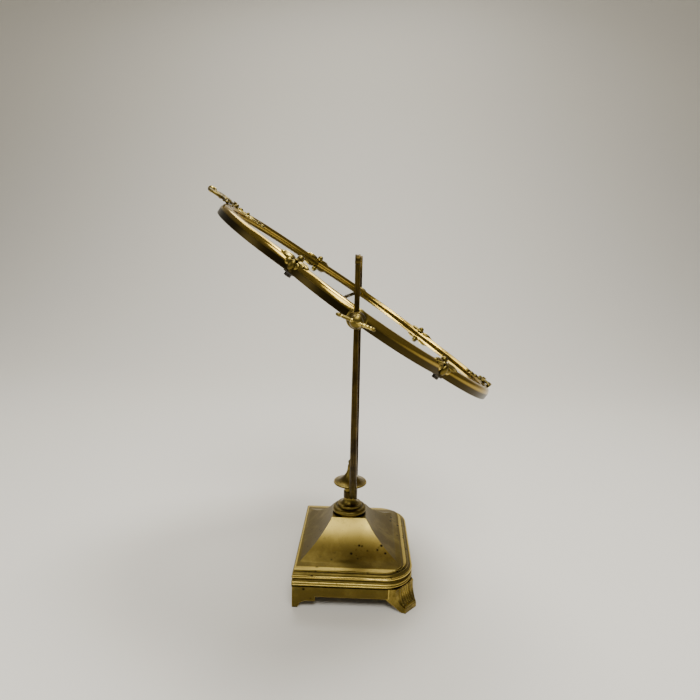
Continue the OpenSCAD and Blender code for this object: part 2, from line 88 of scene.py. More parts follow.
class BaseSizes(bpy.types.PropertyGroup):
    """Sizes of the cast base."""

    corner: FloatProperty(
        name="Corner radius", description="Radius of the two rounded front corners", default=0.022,
        unit="LENGTH",
    )
    eaves: FloatProperty(
        name="Eaves height", description="Height of the roof's lower edge", default=0.0355, unit="LENGTH"
    )
    ledge: FloatProperty(
        name="Ledge", description="How far the moulding stands out at the front and sides", default=0.007,
        unit="LENGTH",
    )
    back_ledge: FloatProperty(
        name="Back ledge", description="How far the moulding stands out at the back", default=0.002,
        unit="LENGTH",
    )
    band: FloatProperty(
        name="Band height", description="Height of the top of the plain apron", default=0.022, unit="LENGTH"
    )
    wall: FloatProperty(name="Wall", description="Wall of the casting", default=0.004, unit="LENGTH")
    bead_step: FloatProperty(
        name="Bead spacing", description="Spacing of the fine beads in the two rows", default=0.00125,
        unit="LENGTH",
    )
    foot_angle: FloatProperty(
        name="Foot angle", description="Angle of a splayed foot from the side of the base",
        default=math.radians(47), subtype="ANGLE",
    )
    foot_sweep: FloatProperty(
        name="Foot sweep", description="Radius of a front foot's concave upper side", default=0.016,
        unit="LENGTH",
    )
    flutes: IntProperty(name="Flutes", description="Flutes in a front foot", default=5)


class MirrorSizes(bpy.types.PropertyGroup):
    """Sizes of the tilting mirror."""

    tilt: FloatProperty(
        name="Tilt", description="Tilt of the mirror from lying face up", default=math.radians(33.5),
        subtype="ANGLE",
    )
    lobe: FloatProperty(name="Lobe radius", description="Radius of each lobe", default=0.1, unit="LENGTH")
    side: FloatProperty(
        name="Side lobes", description="Distance of the side lobes' centres, left and right",
        default=0.0295, unit="LENGTH",
    )
    drop: FloatProperty(
        name="Side drop", description="How far the side lobes' centres lie below the pivots",
        default=0.0075, unit="LENGTH",
    )
    upper: FloatProperty(
        name="Upper lobe", description="Upper lobe's centre above the pivots", default=0.057, unit="LENGTH"
    )
    lower: FloatProperty(
        name="Lower lobe", description="Lower lobe's centre below the pivots", default=0.0515, unit="LENGTH"
    )
    back: FloatProperty(
        name="Rail back", description="Depth of the rail behind the pivots", default=0.004, unit="LENGTH"
    )
    front: FloatProperty(
        name="Rail front", description="Height of the rail in front of the pivots", default=0.007,
        unit="LENGTH",
    )


class YokeSizes(bpy.types.PropertyGroup):
    """Sizes of the yoke."""

    depth: FloatProperty(
        name="Arm depth", description="Depth of an arm in the yoke's plane", default=0.005, unit="LENGTH"
    )
    thick_low: FloatProperty(
        name="Thickness at hub", description="Thickness of an arm at the hub", default=0.0075, unit="LENGTH"
    )
    thick_high: FloatProperty(
        name="Thickness at pivot", description="Thickness of an arm at its pivot", default=0.0038,
        unit="LENGTH",
    )
    horn: FloatProperty(
        name="Horn length", description="Length of a horn above its pivot", default=0.043, unit="LENGTH"
    )
    horn_radius: FloatProperty(
        name="Horn radius", description="Radius of the horn's outward curve", default=0.14, unit="LENGTH"
    )


class BrassColours(bpy.types.PropertyGroup):
    """Colours of the brass, from its worn edges to its hollows."""

    worn: FloatVectorProperty(
        name="Worn", description="Worn and polished brass", default=hex_colour("#DABF62")[:3],
        subtype="COLOR",
    )
    aged: FloatVectorProperty(
        name="Aged", description="Brass under a thin brown tarnish", default=hex_colour("#685928")[:3],
        subtype="COLOR",
    )
    dark: FloatVectorProperty(
        name="Dark", description="Old tarnish in the hollows", default=hex_colour("#1E190C")[:3],
        subtype="COLOR",
    )


# ---------------------------------------------------------------- small helpers


def node(tree, kind, links=None, **settings):
    """Adds a node; settings name its properties or inputs, and links joins its inputs to sockets."""
    made = tree.nodes.new(kind)
    for key, value in settings.items():
        if key in made.bl_rna.properties.keys():
            setattr(made, key, value)
        else:
            made.inputs[key.replace("_", " ")].default_value = value
    for key, socket in (links or {}).items():
        tree.links.new(socket, made.inputs[key])
    return made


def ramp(tree, source, stops):
    """A colour ramp over a socket, with its stops as (place, colour)."""
    made = node(tree, "ShaderNodeValToRGB", {"Fac": source})
    while len(made.color_ramp.elements) < len(stops):
        made.color_ramp.elements.new(0.5)
    for element, (place, colour) in zip(made.color_ramp.elements, stops):
        element.position = place
        element.color = colour
    return made.outputs["Color"]


def arc(x, y, radius, start, end, steps):
    """Points on an arc, from one angle to another in degrees."""
    turns = [math.radians(start + (end - start) * i / steps) for i in range(steps + 1)]
    return [(x + radius * math.cos(a), y + radius * math.sin(a)) for a in turns]


def sweep(bm, section, stations, place, ring=True):
    """Extrudes a section from station to station; place(station, point) puts each corner."""
    verts = [bm.verts.new(place(stations[0], p)) for p in section]
    pairs = list(zip(verts, verts[1:] + verts[:1])) if ring else list(zip(verts, verts[1:]))
    edges = [bm.edges.new(pair) for pair in pairs]
    first = verts
    for station in stations[1:]:
        made = bmesh.ops.extrude_edge_only(bm, edges=edges)["geom"]
        fresh = {v for v in made if isinstance(v, bmesh.types.BMVert)}
        verts = [next(e.other_vert(v) for e in v.link_edges if e.other_vert(v) in fresh) for v in verts]
        edges = [e for e in made if isinstance(e, bmesh.types.BMEdge) and set(e.verts) <= fresh]
        for vert, point in zip(verts, section):
            vert.co = place(station, point)
    return first, verts


def cap(bm, verts):
    """Closes the end of a sweep."""
    bm.faces.new(verts)


def turn(bm, profile, matrix, steps=64):
    """Spins a closed profile of (radius, height) points about a local Z axis that matrix places."""
    verts = [bm.verts.new(matrix @ Vector((r, 0, h))) for r, h in profile]
    edges = [bm.edges.new(pair) for pair in zip(verts, verts[1:] + verts[:1])]
    bmesh.ops.spin(
        bm, geom=verts + edges, cent=matrix.translation, axis=matrix.to_3x3() @ Vector((0, 0, 1)),
        angle=2 * math.pi, steps=steps, use_merge=True, use_duplicate=False,
    )


def blob(bm, place, size, turned=Matrix.Identity(4), segments=20, rings=12):
    """An ellipsoid: a sphere scaled to its three half-sizes, turned and put in place."""
    matrix = Matrix.Translation(place) @ turned @ Matrix.Diagonal((*size, 1.0))
    return bmesh.ops.create_uvsphere(bm, u_segments=segments, v_segments=rings, radius=1.0, matrix=matrix)


def finish_piece(bm, name, body, material, replaces=(), sharp=35):
    """Turns a bmesh into a finished object that rides on a body and may stand for CAD nodes."""
    bmesh.ops.remove_doubles(bm, verts=bm.verts, dist=1e-6)
    bmesh.ops.recalc_face_normals(bm, faces=bm.faces)
    for face in bm.faces:
        face.smooth = True
    for edge in bm.edges:
        edge.smooth = edge.is_manifold and edge.calc_face_angle(math.pi) < math.radians(sharp)
    mesh = bpy.data.meshes.new(name)
    bm.to_mesh(mesh)
    bm.free()
    piece = bpy.data.objects.new(name, mesh)
    bpy.context.scene.collection.objects.link(piece)
    mesh.materials.append(material)
    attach(piece, body)
    if replaces:
        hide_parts(*replaces)
    return piece


def paint(material, *names):
    """Gives CAD nodes a material."""
    for name in names:
        mesh = NODES[name].data
        mesh.materials.clear()
        mesh.materials.append(material)


# ---------------------------------------------------------------- materials


def blend(tree, factor, a, b):
    """Mixes two colours, each a socket or a fixed colour."""
    made = node(tree, "ShaderNodeMix", {"Factor": factor}, data_type="RGBA")
    for key, colour in (("A", a), ("B", b)):
        if isinstance(colour, bpy.types.NodeSocket):
            tree.links.new(colour, made.inputs[key])
        else:
            made.inputs[key].default_value = colour
    return made.outputs["Result"]


def combine(tree, operation, a, b):
    """Arithmetic on two values, each a socket or a number."""
    made = node(tree, "ShaderNodeMath", operation=operation, use_clamp=True)
    for place, value in enumerate((a, b)):
        if isinstance(value, bpy.types.NodeSocket):
            tree.links.new(value, made.inputs[place])
        else:
            made.inputs[place].default_value = value
    return made.outputs["Value"]


def noise(tree, where, size_mm, detail=5.0, rough=0.6, distortion=0.0):
    """Soft noise whose patches are about size_mm wide."""
    return node(
        tree, "ShaderNodeTexNoise", {"Vector": where}, Scale=1 / (size_mm * MM), Detail=detail,
        Roughness=rough, Distortion=distortion,
    ).outputs["Fac"]


def cells(tree, where, size_mm):
    """Distance to the middle of cells about size_mm wide."""
    return node(
        tree, "ShaderNodeTexVoronoi", {"Vector": where}, Scale=1 / (size_mm * MM)
    ).outputs["Distance"]


def fresh_material(name):
    """An empty material, with its node tree and the place on the object."""
    material = bpy.data.materials.new(name)
    material.use_nodes = True
    tree = material.node_tree
    tree.nodes.clear()
    return material, tree, node(tree, "ShaderNodeTexCoord").outputs["Object"]


def between(tree, value, low, high, start=0.0, end=1.0):
    """Maps a value from one range to another."""
    return node(
        tree, "ShaderNodeMapRange", {"Value": value}, From_Min=low, From_Max=high, To_Min=start, To_Max=end
    ).outputs["Result"]


HOLLOW_REACH = 2.4 * MM
EDGE_REACH = 0.6 * MM
FINE_GRAIN_MM = 1.3
SPOT_MM = 6.5


def aged_brass(name, worn, aged, dark, rough, patch_mm, tarnish=0.5, grain=0.08, spots=0.0, polish_and_highlight=None):
    """Cast or turned yellow brass under decades of tarnish.

    Thin oxide browns the metal in soft patches, hollows keep dark grime, edges are rubbed clean, and
    spots of verdigris and black sit here and there. tarnish is the share that is browned. Above a half,
    it also browns the cleanest patches. The last argument, a function of (tree, where), may give a share
    lightened towards the worn colour at each place: cleaner metal, polish and, for the roof and the rim, a
    painted highlight.
    """
    material = bpy.data.materials.get(name)
    if material:
        return material
    material, tree, where = fresh_material(name)
    patches = noise(tree, where, patch_mm, 6.0, 0.62)
    fine = noise(tree, where, FINE_GRAIN_MM, 4.0, 0.7)
    middle_at = 0.3 + 0.4 * (1 - tarnish)
    least = max(0.0, 2 * tarnish - 1)
    browned = between(tree, patches, middle_at - 0.17, middle_at + 0.17, least, 1.0)
    # Lightens where the caller asks: cleaner metal, polish and, for the roof and the rim, a painted
    # highlight.
    if polish_and_highlight:
        browned = combine(tree, "SUBTRACT", browned, polish_and_highlight(tree, where))
    hollows = node(tree, "ShaderNodeAmbientOcclusion", samples=8, Distance=HOLLOW_REACH).outputs["AO"]
    edges = node(
        tree, "ShaderNodeAmbientOcclusion", samples=8, inside=True, Distance=EDGE_REACH
    ).outputs["AO"]
    rubbed = between(tree, edges, 0.85, 0.45)
    browned = combine(tree, "SUBTRACT", browned, combine(tree, "MULTIPLY", rubbed, 0.75))
    colour = blend(tree, browned, worn, aged)
    colour = blend(tree, between(tree, hollows, 0.9, 0.4), colour, dark)
    colour = blend(tree, between(tree, fine, 0.6, 0.78, 0.0, 0.55), colour, dark)
    if spots:
        crowd = between(tree, noise(tree, where, 22), 0.56 - 0.06 * spots, 0.6)
        blots = combine(tree, "MULTIPLY", between(tree, cells(tree, where, SPOT_MM), 0.27, 0.16), crowd)
        colour = blend(tree, blots, colour, hex_colour("#17150C"))
        verdigris = between(tree, noise(tree, where, 7, 6.0, 0.7), 0.58, 0.72)
        verdigris = combine(tree, "MULTIPLY", verdigris, 0.45)
        colour = blend(tree, verdigris, colour, hex_colour("#3F4726"))
    gloss = between(tree, browned, 0.0, 1.0, rough - 0.05, rough + 0.12)
    bump = node(tree, "ShaderNodeBump", {"Height": fine}, Strength=grain, Distance=0.4 * MM)
    shader = node(
        tree, "ShaderNodeBsdfPrincipled",
        {"Base Color": colour, "Roughness": gloss, "Normal": bump.outputs["Normal"]}, Metallic=1.0,
    )
    node(tree, "ShaderNodeOutputMaterial", {"Surface": shader.outputs["BSDF"]})
    return material


def colours():
    """The brass colours that the user may change, as linear RGBA."""
    chosen = bpy.context.scene.mirror_brass
    return tuple((*c, 1.0) for c in (chosen.worn, chosen.aged, chosen.dark))


def cast_brass():
    """Sand-cast yellow brass, dull and spotted, lighter high on the roof's left face: partly cleaner metal,
    partly a painted highlight that only that face gets.
    """

    # Painted highlight: faces turned towards -X, the roof's left face, are lightened more towards the
    # ridge; the height part is also cleaner metal.
    def cleaned_and_lit(tree, where):
        height = node(tree, "ShaderNodeSeparateXYZ", {"Vector": where}).outputs["Z"]
        facing = node(tree, "ShaderNodeNewGeometry").outputs["True Normal"]
        left = node(tree, "ShaderNodeSeparateXYZ", {"Vector": facing}).outputs["X"]
        side = between(tree, left, -0.1, -0.5, 0.0, 0.6)
        eaves, ridge = 36 * MM, 62 * MM
        return combine(tree, "MULTIPLY", between(tree, height, eaves, ridge), side)

    worn, aged, dark = colours()
    return aged_brass("cast_brass_tarnished", worn, aged, dark, 0.33, 18, 0.88, 0.16, 1.0, cleaned_and_lit)


def foot_brass():
    """The same casting as the base, handled more and so a little cleaner."""
    worn, aged, dark = colours()
    return aged_brass("cast_brass_handled", worn, aged, dark, 0.28, 9, 0.72, 0.1)


def rubbed_and_lit_brass():
    """The base's bead rows and roll, which stand out: partly rubbed bright, partly a painted highlight."""
    # Painted highlight: a lighter, barely tarnished copy of the casting's brass, beside real rubbing.
    worn, aged, dark = colours()
    return aged_brass("cast_brass_rubbed_and_lit", worn, aged, dark, 0.24, 9, 0.1, 0.06)


def turned_brass():
    """Lathe-turned yellow brass, half polished, browned between cleanings."""
    worn, aged, dark = colours()
    return aged_brass("turned_brass_half_polished", worn, aged, dark, 0.26, 9, 0.85, 0.05)


def yoke_brass():
    """Cast yellow brass left uncleaned, so the whole bar is dark brown."""
    worn, aged, dark = colours()
    return aged_brass(
        "cast_brass_browned", hex_colour("#5C4B20"), hex_colour("#2E240F"), dark, 0.3, 12, 0.6, 0.08
    )


def rim_brass():
    """Cast yellow brass, darker on its side, tarnish with painted shade, and lighter on its shoulder,
    polish with a painted highlight.
    """
    plate = bpy.context.scene.mirror_plate

    # Painted highlight: the top of the rail, from 5.6 mm under its crown up, is lightened towards the clean
    # colour beside real polish; the side below keeps the stained colour as painted shade.
    def shoulder(tree, where):
        outward = Vector((0, -math.sin(plate.tilt), math.cos(plate.tilt)))
        face = node(tree, "ShaderNodeVectorMath", {0: where}, operation="DOT_PRODUCT")
        face.inputs[1].default_value = outward
        crown = outward.dot(PIVOT) + plate.front
        return between(tree, face.outputs["Value"], crown - 5.6 * MM, crown - 4.0 * MM, 0.0, 0.9)

    dark = colours()[2]
    # Painted light: the clean colour also stands for the lit shoulder, and the stained colour also for the
    # shaded side.
    clean, stained_and_shaded = hex_colour("#B89A45"), hex_colour("#3A3016")
    return aged_brass("cast_brass_polished_lit_rim", clean, stained_and_shaded, dark, 0.2, 18, 1.0, 0.05, 0.0, shoulder)


def ornament_brass():
    """Cast ornament, bright on its high points and dark in its cuts."""
    worn, aged, dark = colours()
    return aged_brass("cast_brass_ornament", worn, aged, dark, 0.24, 6, 0.9, 0.05)


def sheet_brass():
    """Rolled brass sheet, dull and even, with soft water marks."""
    worn, aged, dark = colours()
    return aged_brass("rolled_brass_sheet", hex_colour("#A08348"), aged, dark, 0.38, 40, 0.5, 0.03)


def blackened_steel():
    """Mild steel screws and nuts, oil-blackened, rubbed grey where a spanner turned them."""
    worn, aged, dark = (hex_colour(code) for code in ("#6B655C", "#2C2822", "#100E0B"))
    return aged_brass("blackened_steel", worn, aged, dark, 0.36, 3, 0.7, 0.1)


def silvered_glass():
    """Float glass silvered on its back: a clean mirror with faint dust and a few old spots."""
    material, tree, where = fresh_material("silvered_glass")
    haze = between(tree, noise(tree, where, 9, 8.0, 0.5), 0.35, 0.75, 0.015, 0.06)
    spots = cells(tree, where, 11)
    colour = ramp(tree, spots, [(0.03, hex_colour("#6E675A")), (0.07, hex_colour("#DDE2DF"))])
    shader = node(
        tree, "ShaderNodeBsdfPrincipled", {"Base Color": colour, "Roughness": haze}, Metallic=1.0
    )
    node(tree, "ShaderNodeOutputMaterial", {"Surface": shader.outputs["BSDF"]})
    return material


def grey_card():
    """Pulp card behind the glass, matt, with short fibres."""
    material, tree, where = fresh_material("pulp_card")
    fibres = noise(tree, where, 0.8, 5.0, 0.5, 1.5)
    colour = ramp(tree, fibres, [(0.3, hex_colour("#6A5B44")), (0.7, hex_colour("#8C7C60"))])
    bump = node(tree, "ShaderNodeBump", {"Height": fibres}, Strength=0.3, Distance=0.2 * MM)
    shader = node(
        tree, "ShaderNodeBsdfPrincipled", {"Base Color": colour, "Normal": bump.outputs["Normal"]},
        Roughness=0.9,
    )
    node(tree, "ShaderNodeOutputMaterial", {"Surface": shader.outputs["BSDF"]})
    return material


def pale_floor():
    """Smooth pale paint for the studio floor."""
    material = bpy.data.materials.new("pale_floor")
    material.use_nodes = True
    shader = material.node_tree.nodes["Principled BSDF"]
    shader.inputs["Base Color"].default_value = hex_colour("#EEE9DC")
    shader.inputs["Roughness"].default_value = 0.7
    return material


# ---------------------------------------------------------------- base


def plan_stations():
    """Stations round the base's plan: a point on the roof's edge and the way the moulding grows there."""
    sizes = bpy.context.scene.mirror_base
    low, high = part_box("base_casting")
    half = high.x - sizes.ledge
    front = low.y + sizes.ledge
    back = high.y - sizes.back_ledge
    slope = sizes.back_ledge / sizes.ledge
    r = sizes.corner
    stations = [(Vector((-half, back)), Vector((-1, slope)))]
    steps = 24
    for side, first, last in ((-1, 180, 270), (1, 270, 360)):
        for i in range(steps + 1):
            a = math.radians(first + (last - first) * i / steps)
            way = Vector((math.cos(a), math.sin(a)))
            stations.append((Vector((side * (half - r), front + r)) + r * way, way))
    stations.append((Vector((half, back)), Vector((1, slope))))
    return stations + stations[:1]


def moulding_section(sizes):
    """Closed section of the moulding: step out from the roof, and height."""
    apron = sizes.ledge - 1.2 * MM
    z = sizes.band
    points = [(apron - sizes.wall, z), (apron, z), (apron + 0.3 * MM, z + 0.35 * MM)]
    for height in BEAD_ROWS:
        points += arc(apron + 0.1 * MM, z + height, 0.85 * MM, -75, 75, 6)
    points += arc(apron, z + 6.0 * MM, 1.1 * MM, 250, 110, 6)
    points += arc(sizes.ledge - 2.3 * MM, z + 9.2 * MM, 1.35 * MM, -80, 90, 12)
    points += arc(sizes.ledge - 2.4 * MM, z + 12.7 * MM, 1.6 * MM, 265, 195, 6)
    points += arc(1.3 * MM, z + 12.75 * MM, 0.5 * MM, -60, 100, 6)
    points += [(0.35 * MM, z + 13.2 * MM), (0.0, sizes.eaves), (-sizes.wall, sizes.eaves)]
    return points


BEAD_ROWS = (1.5 * MM, 3.9 * MM)


def on_moulding(station, point):
    """Puts a point of the moulding's section, as step out and height, at a station."""
    edge, way = station
    return Vector((*(edge + point[0] * way), point[1]))


def cad_part(name, low=None, high=None):
    """A merged copy of a CAD node, cut to a range of heights and closed where it was cut."""
    bm = bmesh.new()
    bm.from_mesh(NODES[name].data)
    bmesh.ops.remove_doubles(bm, verts=bm.verts, dist=2e-6)
    for height, inner in ((low, True), (high, False)):
        if height is None:
            continue
        cut = bmesh.ops.bisect_plane(
            bm, geom=bm.verts[:] + bm.edges[:] + bm.faces[:], plane_co=(0, 0, height), plane_no=(0, 0, 1),
            clear_inner=inner, clear_outer=not inner,
        )["geom_cut"]
        rim = [e for e in cut if isinstance(e, bmesh.types.BMEdge)]
        bmesh.ops.triangle_fill(bm, use_beauty=True, edges=rim)
    return bm


def add_mesh(bm, other):
    """Adds another bmesh to this one and frees it."""
    holder = bpy.data.meshes.new("joined")
    other.to_mesh(holder)
    other.free()
    bm.from_mesh(holder)
    bpy.data.meshes.remove(holder)


class MIRROR_OT_base(bpy.types.Operator):
    """Cast base: the roof, a fine moulding between roof and apron, and the apron with its arches"""

    bl_idname = "mirror.base"
    bl_label = "Cast base"

    def execute(self, context):
        sizes = context.scene.mirror_base
        bm = cad_part("base_casting", low=sizes.eaves)
        add_mesh(bm, cad_part("base_casting", high=sizes.band))
        sweep(bm, moulding_section(sizes), plan_stations(), on_moulding)
        finish_piece(bm, "base_shell", "stand", cast_brass(), ["base_casting"], sharp=28)
        return {"FINISHED"}


class MIRROR_OT_base_beads(bpy.types.Operator):
    """Two rows of fine beads and a bright roll along the band of the base"""

    bl_idname = "mirror.base_beads"
    bl_label = "Beaded band"

    def execute(self, context):
        sizes = context.scene.mirror_base
        radius = 0.62 * MM
        out = sizes.ledge - radius - 0.02 * MM
        path = [s[0] + out * s[1] for s in plan_stations()]
        bm = bmesh.new()
        for height in BEAD_ROWS:
            left = sizes.bead_step
            for a, b in zip(path, path[1:]):
                run = (b - a).length
                while left < run:
                    spot = a + (b - a) * (left / run)
                    bmesh.ops.create_icosphere(
                        bm, subdivisions=1, radius=radius,
                        matrix=Matrix.Translation((*spot, sizes.band + height)),
                    )
                    left += sizes.bead_step
                left -= run
        roll = arc(sizes.ledge - 1.05 * MM, sizes.band + 9.3 * MM, 1.0 * MM, 0, 330, 11)
        sweep(bm, roll, plan_stations(), on_moulding)
        finish_piece(bm, "base_bead_rows", "stand", rubbed_and_lit_brass(), sharp=80)
        return {"FINISHED"}


class MIRROR_OT_front_feet(bpy.types.Operator):
    """Two splayed front feet with a fluted, bordered upper side and a square toe"""

    bl_idname = "mirror.front_feet"
    bl_label = "Front feet"

    def execute(self, context):
        sizes = context.scene.mirror_base
        half = 8 * MM
        border, rib, edging = 0.8 * MM, 0.5 * MM, 1.35 * MM
        margin = 1.1 * MM
        shoulder = Vector((sizes.corner + sizes.ledge - 0.2 * MM, sizes.band))
        toe = Vector((34 * MM, 6.5 * MM))
        lean = shoulder - toe
        off = math.sqrt(sizes.foot_sweep ** 2 - lean.length_squared / 4) / lean.length
        centre = (shoulder + toe) / 2 + off * Vector((lean.y, -lean.x))
        first, last = (math.atan2(*reversed(p - centre)) % (2 * math.pi) for p in (shoulder, toe))
        path = []
        for i in range(17):
            a = first + 0.05 + (last - first - 0.06) * i / 16
            way = Vector((-math.cos(a), -math.sin(a)))
            path.append((centre - sizes.foot_sweep * way, way))
        low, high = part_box("base_casting")
        corner = Vector((high.x - sizes.ledge - sizes.corner, low.y + sizes.ledge + sizes.corner, 0))
        turned = Matrix.Translation(corner) @ Matrix.Rotation(-sizes.foot_angle, 4, "Z")
        pitch = 2 * (half - margin) / sizes.flutes
        ribs = [(-half + border, border), (half - border, border)]
        ribs += [(-half + margin + pitch * i, rib) for i in range(1, sizes.flutes)]
        for side, name in ((-1, "left"), (1, "right")):
            bm = cad_part(f"front_foot_{name}")
            relief = bmesh.new()
            for w, size in ribs:
                section = arc(0, 0, size, 0, 315, 7)

                def place(station, point, w=w):
                    spot, way = station
                    spot = spot + way * 1.1 * point[1]
                    return turned @ Vector((spot.x, w + point[0], spot.y))

                for end in sweep(relief, section, path, place):
                    cap(relief, end)
            edge = turned @ Matrix.Translation((toe.x + 1.5 * MM, 0, toe.y - 0.9 * MM))
            bar = [edge @ Matrix.Translation((0, w * MM, 0)) for w in (-7.6, -3, 3, 7.6)]
            rim = arc(0, 0, edging, 0, 337.5, 15)
            for end in sweep(relief, rim, bar, lambda m, p: m @ Vector((p[0], 0, p[1]))):
                cap(relief, end)
            if side < 0:
                bmesh.ops.transform(relief, matrix=Matrix.Diagonal((-1, 1, 1, 1)), verts=relief.verts)
            add_mesh(bm, relief)
            finish_piece(
                bm, f"foot_front_{name}", "stand", foot_brass(), [f"front_foot_{name}"]
            )
        return {"FINISHED"}


# ---------------------------------------------------------------- hub


def on_hub(z):
    """Places a turned piece on the hub's axis at a height."""
    return Matrix.Translation((0, HUB_Y, z))


class MIRROR_OT_hub(bpy.types.Operator):
    """Turned collar ring, trumpet socket and neck"""

    bl_idname = "mirror.hub"
    bl_label = "Turned hub"

    def execute(self, context):
        bore = ROD_BORE
        low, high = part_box("collar_ring")
        bead = (high.z - low.z) / 2
        mid = high.x - bead
        ring = [(bore, 0), (mid - 1 * MM, 0)] + arc(mid, bead, bead, -100, 95, 18)
        ring += [(mid - 0.7 * MM, 2 * bead - 0.35 * MM), (mid - 1.3 * MM, 2 * bead), (bore, 2 * bead)]
        bm = bmesh.new()
        turn(bm, ring, on_hub(low.z), 72)
        finish_piece(bm, "collar_ring_turned", "stand", turned_brass(), ["collar_ring"])

        low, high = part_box("socket")
        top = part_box("neck_spacer")[1].x
        foot, tall = high.x, high.z - low.z
        flare = foot - top
        trumpet = [(bore, 0), (foot - 0.4 * MM, 0), (foot, 0.35 * MM), (foot, tall - flare - 0.5 * MM)]
        trumpet += arc(foot, tall, flare, 266, 182, 14) + [(top, tall), (bore, tall)]
        bm = bmesh.new()
        turn(bm, trumpet, on_hub(low.z), 72)
        finish_piece(bm, "socket_turned", "stand", turned_brass(), ["socket"])

        low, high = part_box("neck_spacer")
        tall = high.z - low.z
        neck = [(bore, 0), (top - 0.3 * MM, 0), (top, 0.3 * MM), (top - 0.5 * MM, 0.9 * MM)]
        neck += [(top - 0.5 * MM, tall - 0.9 * MM), (top, tall - 0.3 * MM), (top - 0.3 * MM, tall)]
        neck += [(bore, tall)]
        bm = bmesh.new()
        turn(bm, neck, on_hub(low.z), 64)
        finish_piece(bm, "neck_turned", "stand", turned_brass(), ["neck_spacer"])
        return {"FINISHED"}


class MIRROR_OT_finial(bpy.types.Operator):
    """Thin-rimmed bell with a swept cone, and its ball"""

    bl_idname = "mirror.finial"
    bl_label = "Finial"

    def execute(self, context):
        bore = ROD_BORE
        low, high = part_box("bell_finial")
        rim, tall = high.x, high.z - low.z
        ball_low, ball_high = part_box("finial_ball")
        ball = (ball_high.x - ball_low.x) / 2
        top = ball + 0.4 * MM
        reach = rim - 1 * MM
        lip = 0.8 * MM
        hollow = [(bore, tall * 0.42), (bore, 0), (7 * MM, 0)]
        hollow += [(rim - 3.4 * MM, 0.5 * MM), (rim - 2 * MM, 0.1 * MM)]
        bell = [(0, tall), (0, tall * 0.42)] + hollow + arc(rim - lip, lip, lip, -80, 80, 8)
        sweep_up = arc(reach + top, reach + 2 * lip, reach, 262, 182, 26)
        bell += sweep_up + [(top - 0.2 * MM, tall - 1.6 * MM), (top - 0.5 * MM, tall - 0.6 * MM)]
        bell += [(top - 0.9 * MM, tall)]
        bm = bmesh.new()
        turn(bm, bell, on_hub(low.z), 80)
        finish_piece(bm, "bell_turned", "finial", turned_brass(), ["bell_finial"])

        bm = bmesh.new()
        centre = ball_high.z - ball_low.z - ball
        profile = [(0, 0), (ball * 0.75, 0), (ball * 0.82, 0.2 * MM)]
        profile += arc(0, centre, ball, -40, 90, 16)
        turn(bm, profile, on_hub(ball_low.z), 40)
        finish_piece(bm, "finial_ball_turned", "finial", turned_brass(), ["finial_ball"])
        return {"FINISHED"}


# ---------------------------------------------------------------- yoke


def arm_path(sizes):
    """Middle line of the right arm: (point, way across the bar, share of the way up), hub to scroll."""
    half = ARM_X
    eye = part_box("neck_spacer")[0].z - 3.5 * MM
    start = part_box("neck_spacer")[1].x
    rise, run = PIVOT.z - eye, half - start
    radius = (run * run + rise * rise) / (2 * run)
    centre = Vector((half - radius, PIVOT.z))
    low = math.asin(-rise / radius)
    path = []
    arm_steps, into_hub, horn_steps, scroll_steps = 56, 2, 14, 24
    for i in range(-into_hub, arm_steps + 1):
        a = low * (1 - i / arm_steps)
        out = Vector((math.cos(a), math.sin(a)))
        path.append((centre + radius * out, out, max(i, 0) / arm_steps))
    turn_out = math.asin(sizes.horn / sizes.horn_radius)
    hinge = Vector((half + sizes.horn_radius, PIVOT.z))
    for i in range(1, horn_steps + 1):
        a = turn_out * i / horn_steps
        out = Vector((math.cos(a), -math.sin(a)))
        path.append((hinge - sizes.horn_radius * out, out, 1 + i / horn_steps))
    tip, out, _ = path[-1]
    curl = 3.6 * MM
    eye_of_scroll = tip + curl * out
    first = math.atan2(-out.y, -out.x)
    for i in range(1, scroll_steps + 1):
        a = first - 2 * math.pi * i / scroll_steps
        shrink = curl * (1 - 0.62 * i / scroll_steps)
        way = Vector((-math.cos(a), -math.sin(a)))
        path.append((eye_of_scroll - shrink * way, way, 2 + i / scroll_steps))
    return path


